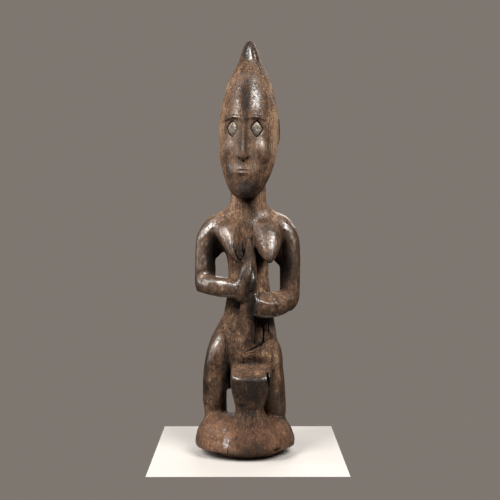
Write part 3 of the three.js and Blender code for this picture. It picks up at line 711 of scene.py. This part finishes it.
# Where hands have polished it, and where it has stayed dull.
GLOSS = [
    ((6, -10, 418), (6, 12, 18), 1.1), ((-3, -12, 426), (5, 12, 16), -0.5),
    ((-13, -34, 372), (5, 8, 20), 0.5), ((-26, -22, 350), (9, 16, 50), -0.5),
    ((11, -34, 376), (10, 8, 18), 0.9), ((-30, -28, 180), (36, 18, 15), 2),
    ((28, -31, 158), (28, 12, 14), 1.3), ((-38, -26, 114), (13, 14, 26), 1.4),
    ((-15, -46, 85), (6, 8, 6), 1), ((22, -45, 85), (6, 8, 6), 1.2), ((-22, -46, 25), (6, 10, 16), 1.1),
    ((3, -42, 60), (22, 14, 18), -0.9), ((4, -48, 83), (12, 10, 9), -0.2),
    ((30, -18, 238), (20, 20, 24), 1.5), ((12, -28, 226), (8, 12, 14), -0.2),
    ((5, -44, 26), (30, 20, 24), -1.1), ((-26, -22, 234), (12, 14, 20), 1.3),
    ((46, -4, 238), (18, 18, 24), 1.5), ((-47, -4, 238), (14, 14, 20), 1.1),
    ((-51, -8, 206), (9, 18, 40), 1.7), ((2, -38, 200), (9, 9, 24), -0.1),
    ((-8, -30, 214), (11, 12, 11), -1.1), ((6, -34, 112), (26, 16, 18), -0.9),
    ((-8, -26, 120), (16, 14, 14), -0.9), ((-17, -30, 312), (11, 12, 26), 0.6),
    ((18, -30, 318), (12, 12, 26), 0.8), ((2, -4, 268), (24, 24, 12), -0.7),
    ((-5, -22, 236), (12, 14, 22), -1), ((20, -8, 190), (14, 18, 30), -0.8),
    ((-22, -14, 140), (14, 22, 26), -1), ((10, -30, 106), (24, 16, 10), -0.2),
    ((0, 0, 10), (80, 80, 26), -0.35), ((-3, -36, 380), (5.5, 10, 34), -1.3),
    ((30, 0, 345), (8, 26, 60), -0.6), ((3, -46, 91), (22, 10, 5), -0.2),
    ((-36, -4, 210), (8, 16, 21), -1.3), ((38, -4, 203), (7, 16, 28), -1.3),
    ((11, -14, 208), (6, 16, 9), -0.8),
]
RED = [((-34, -26, 22), (30, 34, 20), 1), ((22, -34, 22), (32, 30, 22), 0.8),
       ((40, -8, 84), (5, 16, 50), 0.7), ((-28, -10, 336), (6, 14, 50), 0.3)]
patchy = noise(at, 11, 21) * 0.6 + noise(at, 5, 22) * 0.4
# hollow: how far into a recess a point lies; it darkens the colour as painted shade and dulls the gloss.
hollow = np.clip(1 - (0.55 * reach[2.5] + 0.45 * reach[6]), 0, 1)
proud = np.clip((1 - inner) * 3, 0, 1)
paint("hollow", hollow)
# The tone holds the painted shade listed above as well as the wood's own tone.
paint("tone", np.clip(0.5 + 0.5 * blobs(TONE_AND_SHADE) + 0.14 * patchy - 0.15 * proud, 0, 1))
paint("gloss", np.clip(0.45 + 0.5 * blobs(GLOSS) + 0.15 * patchy + 0.12 * proud - 0.5 * hollow, 0, 1))
paint("red", np.clip(blobs(RED) * (0.8 + 0.5 * patchy), 0, 1))


class Nodes:
    """Builds a material's nodes with short calls. Each call gives back its output socket."""

    def __init__(self, name):
        self.material = bpy.data.materials.new(name)
        self.material.use_nodes = True
        self.tree = self.material.node_tree
        self.shader = self.tree.nodes["Principled BSDF"]
        self.place = self.new("TexCoord").outputs["Object"]

    def new(self, kind, inputs=None, **settings):
        node = self.tree.nodes.new("ShaderNode" + kind)
        for key, value in settings.items():
            setattr(node, key, value)
        for key, value in (inputs or {}).items():
            self.put(node.inputs[key], value)
        return node

    def put(self, socket, value):
        if isinstance(value, bpy.types.NodeSocket):
            self.tree.links.new(value, socket)
        else:
            socket.default_value = value

    def attribute(self, name):
        return self.new("Attribute", attribute_name=name).outputs["Fac"]

    def noise(self, size, stretch=(1, 1, 1), detail=3, rough=0.6, shift=0.0):
        """Noise with lumps about size millimetres across, longer along an axis by stretch."""
        scale = tuple(1 / s for s in stretch)
        where = {"Vector": self.place, "Scale": scale, "Location": (shift, shift, shift)}
        mapped = self.new("Mapping", where)
        inputs = {"Vector": mapped.outputs[0], "Scale": 1000 / size, "Detail": detail, "Roughness": rough}
        made = self.new("TexNoise", inputs)
        return made.outputs["Fac"]

    def math(self, kind, a, b):
        return self.new("Math", {0: a, 1: b}, operation=kind).outputs[0]

    def span(self, value, low, high, to_low=0.0, to_high=1.0):
        inputs = {"Value": value, "From Min": low, "From Max": high, "To Min": to_low, "To Max": to_high}
        return self.new("MapRange", inputs, interpolation_type="SMOOTHSTEP").outputs["Result"]

    def mix(self, share, a, b):
        node = self.new("Mix", {0: share}, data_type="RGBA")
        colours = [i for i in node.inputs if i.type == "RGBA"]
        self.put(colours[0], a)
        self.put(colours[1], b)
        return [o for o in node.outputs if o.type == "RGBA"][0]

    def bump(self, height, strength, distance, after=None):
        inputs = {"Height": height, "Strength": strength, "Distance": distance / 1000}
        if after is not None:
            inputs["Normal"] = after
        return self.new("Bump", inputs).outputs[0]


def colour(red, green, blue):
    """A colour given as it looks on a screen, 0 to 255, as the linear light that a shader takes."""
    shares = [c / 255 for c in (red, green, blue)]
    return (*(c / 12.92 if c < 0.04045 else ((c + 0.055) / 1.055) ** 2.4 for c in shares), 1)


# Wood: brown, with a dark patina that hands have polished, and dust where they don't reach. Its darkest
# colour also serves painted shade.
PATINA_AND_SHADE = colour(27, 18, 12)
DARK_WOOD = colour(60, 42, 29)
BARE_WOOD = colour(94, 70, 53)
DUST = colour(150, 122, 97)
RED_EARTH = colour(98, 62, 42)
SHADE = colour(15, 10, 7)
FLECK = colour(150, 126, 100)
PIT = colour(16, 11, 8)
w = Nodes("dark_wood")
streaks = w.noise(1.9, (1, 1, 16), detail=4, rough=0.7)
fibres = w.noise(0.7, (1, 1, 10), detail=2, rough=0.6, shift=3.1)
blotch = w.noise(8, (1, 1, 1.8), detail=4, rough=0.65, shift=1.7)
speckle = w.noise(2.4, (1, 1, 1.4), detail=4, rough=0.8, shift=5.3)
grit = w.noise(1.2, (1, 1, 1.2), detail=3, rough=0.75, shift=8.1)
tone, gloss = w.attribute("tone"), w.attribute("gloss")


def around_half(value, weight):
    return w.math("MULTIPLY", w.math("SUBTRACT", value, 0.5), weight)


for value, weight in ((blotch, 1), (speckle, 1.3), (streaks, 1), (grit, 1.3)):
    tone = w.math("ADD", tone, around_half(value, weight))
# Low tone gives the dark patina and also the painted shade.
base = w.mix(w.span(tone, 0.1, 0.42), PATINA_AND_SHADE, DARK_WOOD)
base = w.mix(w.span(tone, 0.4, 0.72), base, BARE_WOOD)
base = w.mix(w.span(tone, 0.7, 1.1), base, DUST)
reddish = w.math("MULTIPLY", w.attribute("red"), w.span(blotch, 0.25, 0.6, 0.15, 0.6))
base = w.mix(reddish, base, RED_EARTH)
# Painted shade: the hollows are darkened towards SHADE.
base = w.mix(w.span(w.attribute("hollow"), 0.4, 0.95, 0, 0.9), base, SHADE)
base = w.mix(w.span(grit, 0.64, 0.76, 0, 0.25), base, FLECK)
pits = w.span(w.noise(1.7, (1, 1, 2.2), detail=3, rough=0.7, shift=9.2), 0.57, 0.66)
base = w.mix(w.math("MULTIPLY", pits, 0.55), base, PIT)
w.put(w.shader.inputs["Base Color"], base)
for value, weight in ((tone, -0.35), (speckle, -0.9), (blotch, -0.3), (grit, -1.3)):
    gloss = w.math("ADD", gloss, around_half(value, weight))
w.put(w.shader.inputs["Roughness"], w.span(gloss, 0.1, 0.95, 0.85, 0.36))
height = w.math("ADD", w.math("MULTIPLY", streaks, 0.6), w.math("MULTIPLY", fibres, 0.2))
height = w.math("ADD", height, w.math("MULTIPLY", grit, 0.5))
height = w.math("SUBTRACT", height, w.math("MULTIPLY", pits, 0.8))
height = w.math("MULTIPLY", height, w.span(w.attribute("gloss"), 0.35, 0.95, 1, 0.24))
first = w.bump(height, 0.6, 0.45)
waves = w.noise(4.5, (1, 1, 1.5), detail=2, rough=0.6, shift=7.7)
w.put(w.shader.inputs["Normal"], w.bump(waves, 0.16, 1.2, after=first))
pores = w.math("MAXIMUM", pits, w.span(grit, 0.42, 0.34))
polish = w.math("MULTIPLY", w.span(gloss, 0.35, 1.05), w.span(pores, 0, 1, 1, 0.1))
w.put(w.shader.inputs["Coat Weight"], polish)
w.shader.inputs["Coat Roughness"].default_value = 0.32
w.shader.inputs["Coat IOR"].default_value = 1.8
w.put(w.shader.inputs["Coat Normal"], first)
w.shader.inputs["Specular IOR Level"].default_value = 0.3
mesh.materials.append(w.material)
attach(figure, "root")
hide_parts("carved_figure")

# Eye plates.
m = Nodes("plate_metal")
scuff = m.noise(0.9, detail=4, rough=0.7)
dent = m.noise(3.2, detail=2)
tarnish = m.span(m.noise(2.6, detail=4, rough=0.7, shift=4.2), 0.4, 0.68)
tone = m.mix(tarnish, colour(128, 120, 110), colour(74, 63, 53))
m.put(m.shader.inputs["Base Color"], m.mix(m.span(scuff, 0.6, 0.75), tone, colour(60, 50, 42)))
m.put(m.shader.inputs["Roughness"], m.span(tarnish, 0, 1, 0.42, 0.68))
m.shader.inputs["Metallic"].default_value = 0.85
m.put(m.shader.inputs["Normal"], m.bump(dent, 0.5, 0.8, after=m.bump(scuff, 0.4, 0.2)))


def eye_plate(side, name):
    """A thin lozenge that is slightly domed: rings of the same outline, ever smaller, up to its crown."""
    middle, axes = plate_axes(side)
    around = 64
    angle = np.linspace(0, 2 * np.pi, around, endpoint=False)
    c, s = np.cos(angle), np.sin(angle)
    edge = 1 / lozenge(c * PLATE_HALF[0], s * PLATE_HALF[1])
    rim = np.stack([c * PLATE_HALF[0] * edge, s * PLATE_HALF[1] * edge], -1)
    low, crown = -1.3, 1.56
    rings = [(1, low), (1, 0.7), (0.97, 1.05), (0.9, 1.25), (0.7, 1.42), (0.4, 1.52), (0.15, 1.55)]
    verts = [np.column_stack([rim * share, np.full(around, high)]) for share, high in rings]
    verts = np.vstack([*verts, [[0, 0, crown]], [[0, 0, low]]])
    faces = []
    for i in range(len(rings) - 1):
        for j in range(around):
            k = (j + 1) % around
            faces.append((i * around + j, i * around + k, (i + 1) * around + k, (i + 1) * around + j))
    top = len(rings) * around
    for j in range(around):
        k = (j + 1) % around
        faces.append((top - around + j, top - around + k, top))
        faces.append((k, j, top + 1))
    piece = mesh_of(name, verts @ axes + middle, faces)
    piece.data.shade_smooth()
    piece.data.materials.append(m.material)
    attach(piece, "root")
    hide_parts(name)
    piece.name = name + "_inlay"


eye_plate(-1, "right_eye_plate")
eye_plate(1, "left_eye_plate")

# Floor, as wide as the photo's plinth. From here on sizes are metres.
PLINTH = 0.2
bpy.ops.mesh.primitive_plane_add(size=1, location=(0, 0, 0))
floor = bpy.context.object
floor.name = "floor"
floor.scale = (PLINTH, PLINTH, 1)
pale = bpy.data.materials.new("pale_floor")
pale.use_nodes = True
shader = pale.node_tree.nodes["Principled BSDF"]
shader.inputs["Base Color"].default_value = (0.54, 0.52, 0.5, 1)
shader.inputs["Roughness"].default_value = 0.6
floor.data.materials.append(pale)

# Light: a grey backdrop to look at, little light from it, two soft lights in front, a weak one at the side
# and one behind.
BACKDROP_GIVES, BACKDROP_SHOWS = (0.058, 0.052, 0.047, 1), (0.21, 0.183, 0.162, 1)
LAMP_COLOUR = (1, 0.965, 0.92)
MIDDLE = 0.22  # half the figure's height
world = bpy.data.worlds.new("studio")
bpy.context.scene.world = world
world.use_nodes = True
tree = world.node_tree
ground = tree.nodes["Background"]
seen = tree.nodes.new("ShaderNodeLightPath").outputs["Is Camera Ray"]
blend = tree.nodes.new("ShaderNodeMix")
blend.data_type = "RGBA"
tree.links.new(seen, blend.inputs[0])
ends = [i for i in blend.inputs if i.type == "RGBA"]
ends[0].default_value = BACKDROP_GIVES
ends[1].default_value = BACKDROP_SHOWS
tree.links.new([o for o in blend.outputs if o.type == "RGBA"][0], ground.inputs["Color"])


def soft_light(name, place, size, power):
    """A rectangular lamp that points at the figure's middle."""
    lamp = bpy.data.lights.new(name, "AREA")
    lamp.shape = "RECTANGLE"
    lamp.size, lamp.size_y = size
    lamp.energy = power
    lamp.color = LAMP_COLOUR
    holder = put_in_scene(name, lamp)
    holder.location = place
    holder.rotation_euler = (Vector((0, 0, MIDDLE)) - Vector(place)).to_track_quat("-Z", "Y").to_euler()


def polar(azimuth, elevation, distance):
    """A place around the figure. Azimuth 0 is in front and turns to the viewer's right."""
    a, e = np.radians(azimuth), np.radians(elevation)
    level = distance * np.cos(e)
    return (level * np.sin(a), -level * np.cos(a), MIDDLE + distance * np.sin(e))


soft_light("right_light", polar(38, 40, 1.5), (0.8, 0.7), 33)
soft_light("left_light", polar(-48, 38, 1.5), (0.6, 0.7), 29)
soft_light("side_light", polar(-92, 20, 1.4), (0.3, 0.9), 6.5)
soft_light("back_light", polar(168, 28, 1.7), (1.4, 1.0), 13)

# Camera, at the height and distance that the photo's perspective gives.
FOCAL, PICTURE = 880, 500  # in the photo's pixels
SENSOR = 36
PITCH, YAW = -2.67, -0.13
CAMERA_AT = (0, -0.947, 0.261)
camera = bpy.data.cameras.new("camera")
camera.lens = FOCAL / PICTURE * SENSOR
camera.sensor_width = SENSOR
seat = put_in_scene("camera", camera)
seat.location = CAMERA_AT
seat.rotation_euler = (np.radians(90 + PITCH), 0, np.radians(YAW))
bpy.context.scene.camera = seat
bpy.context.scene.view_settings.view_transform = "Standard"
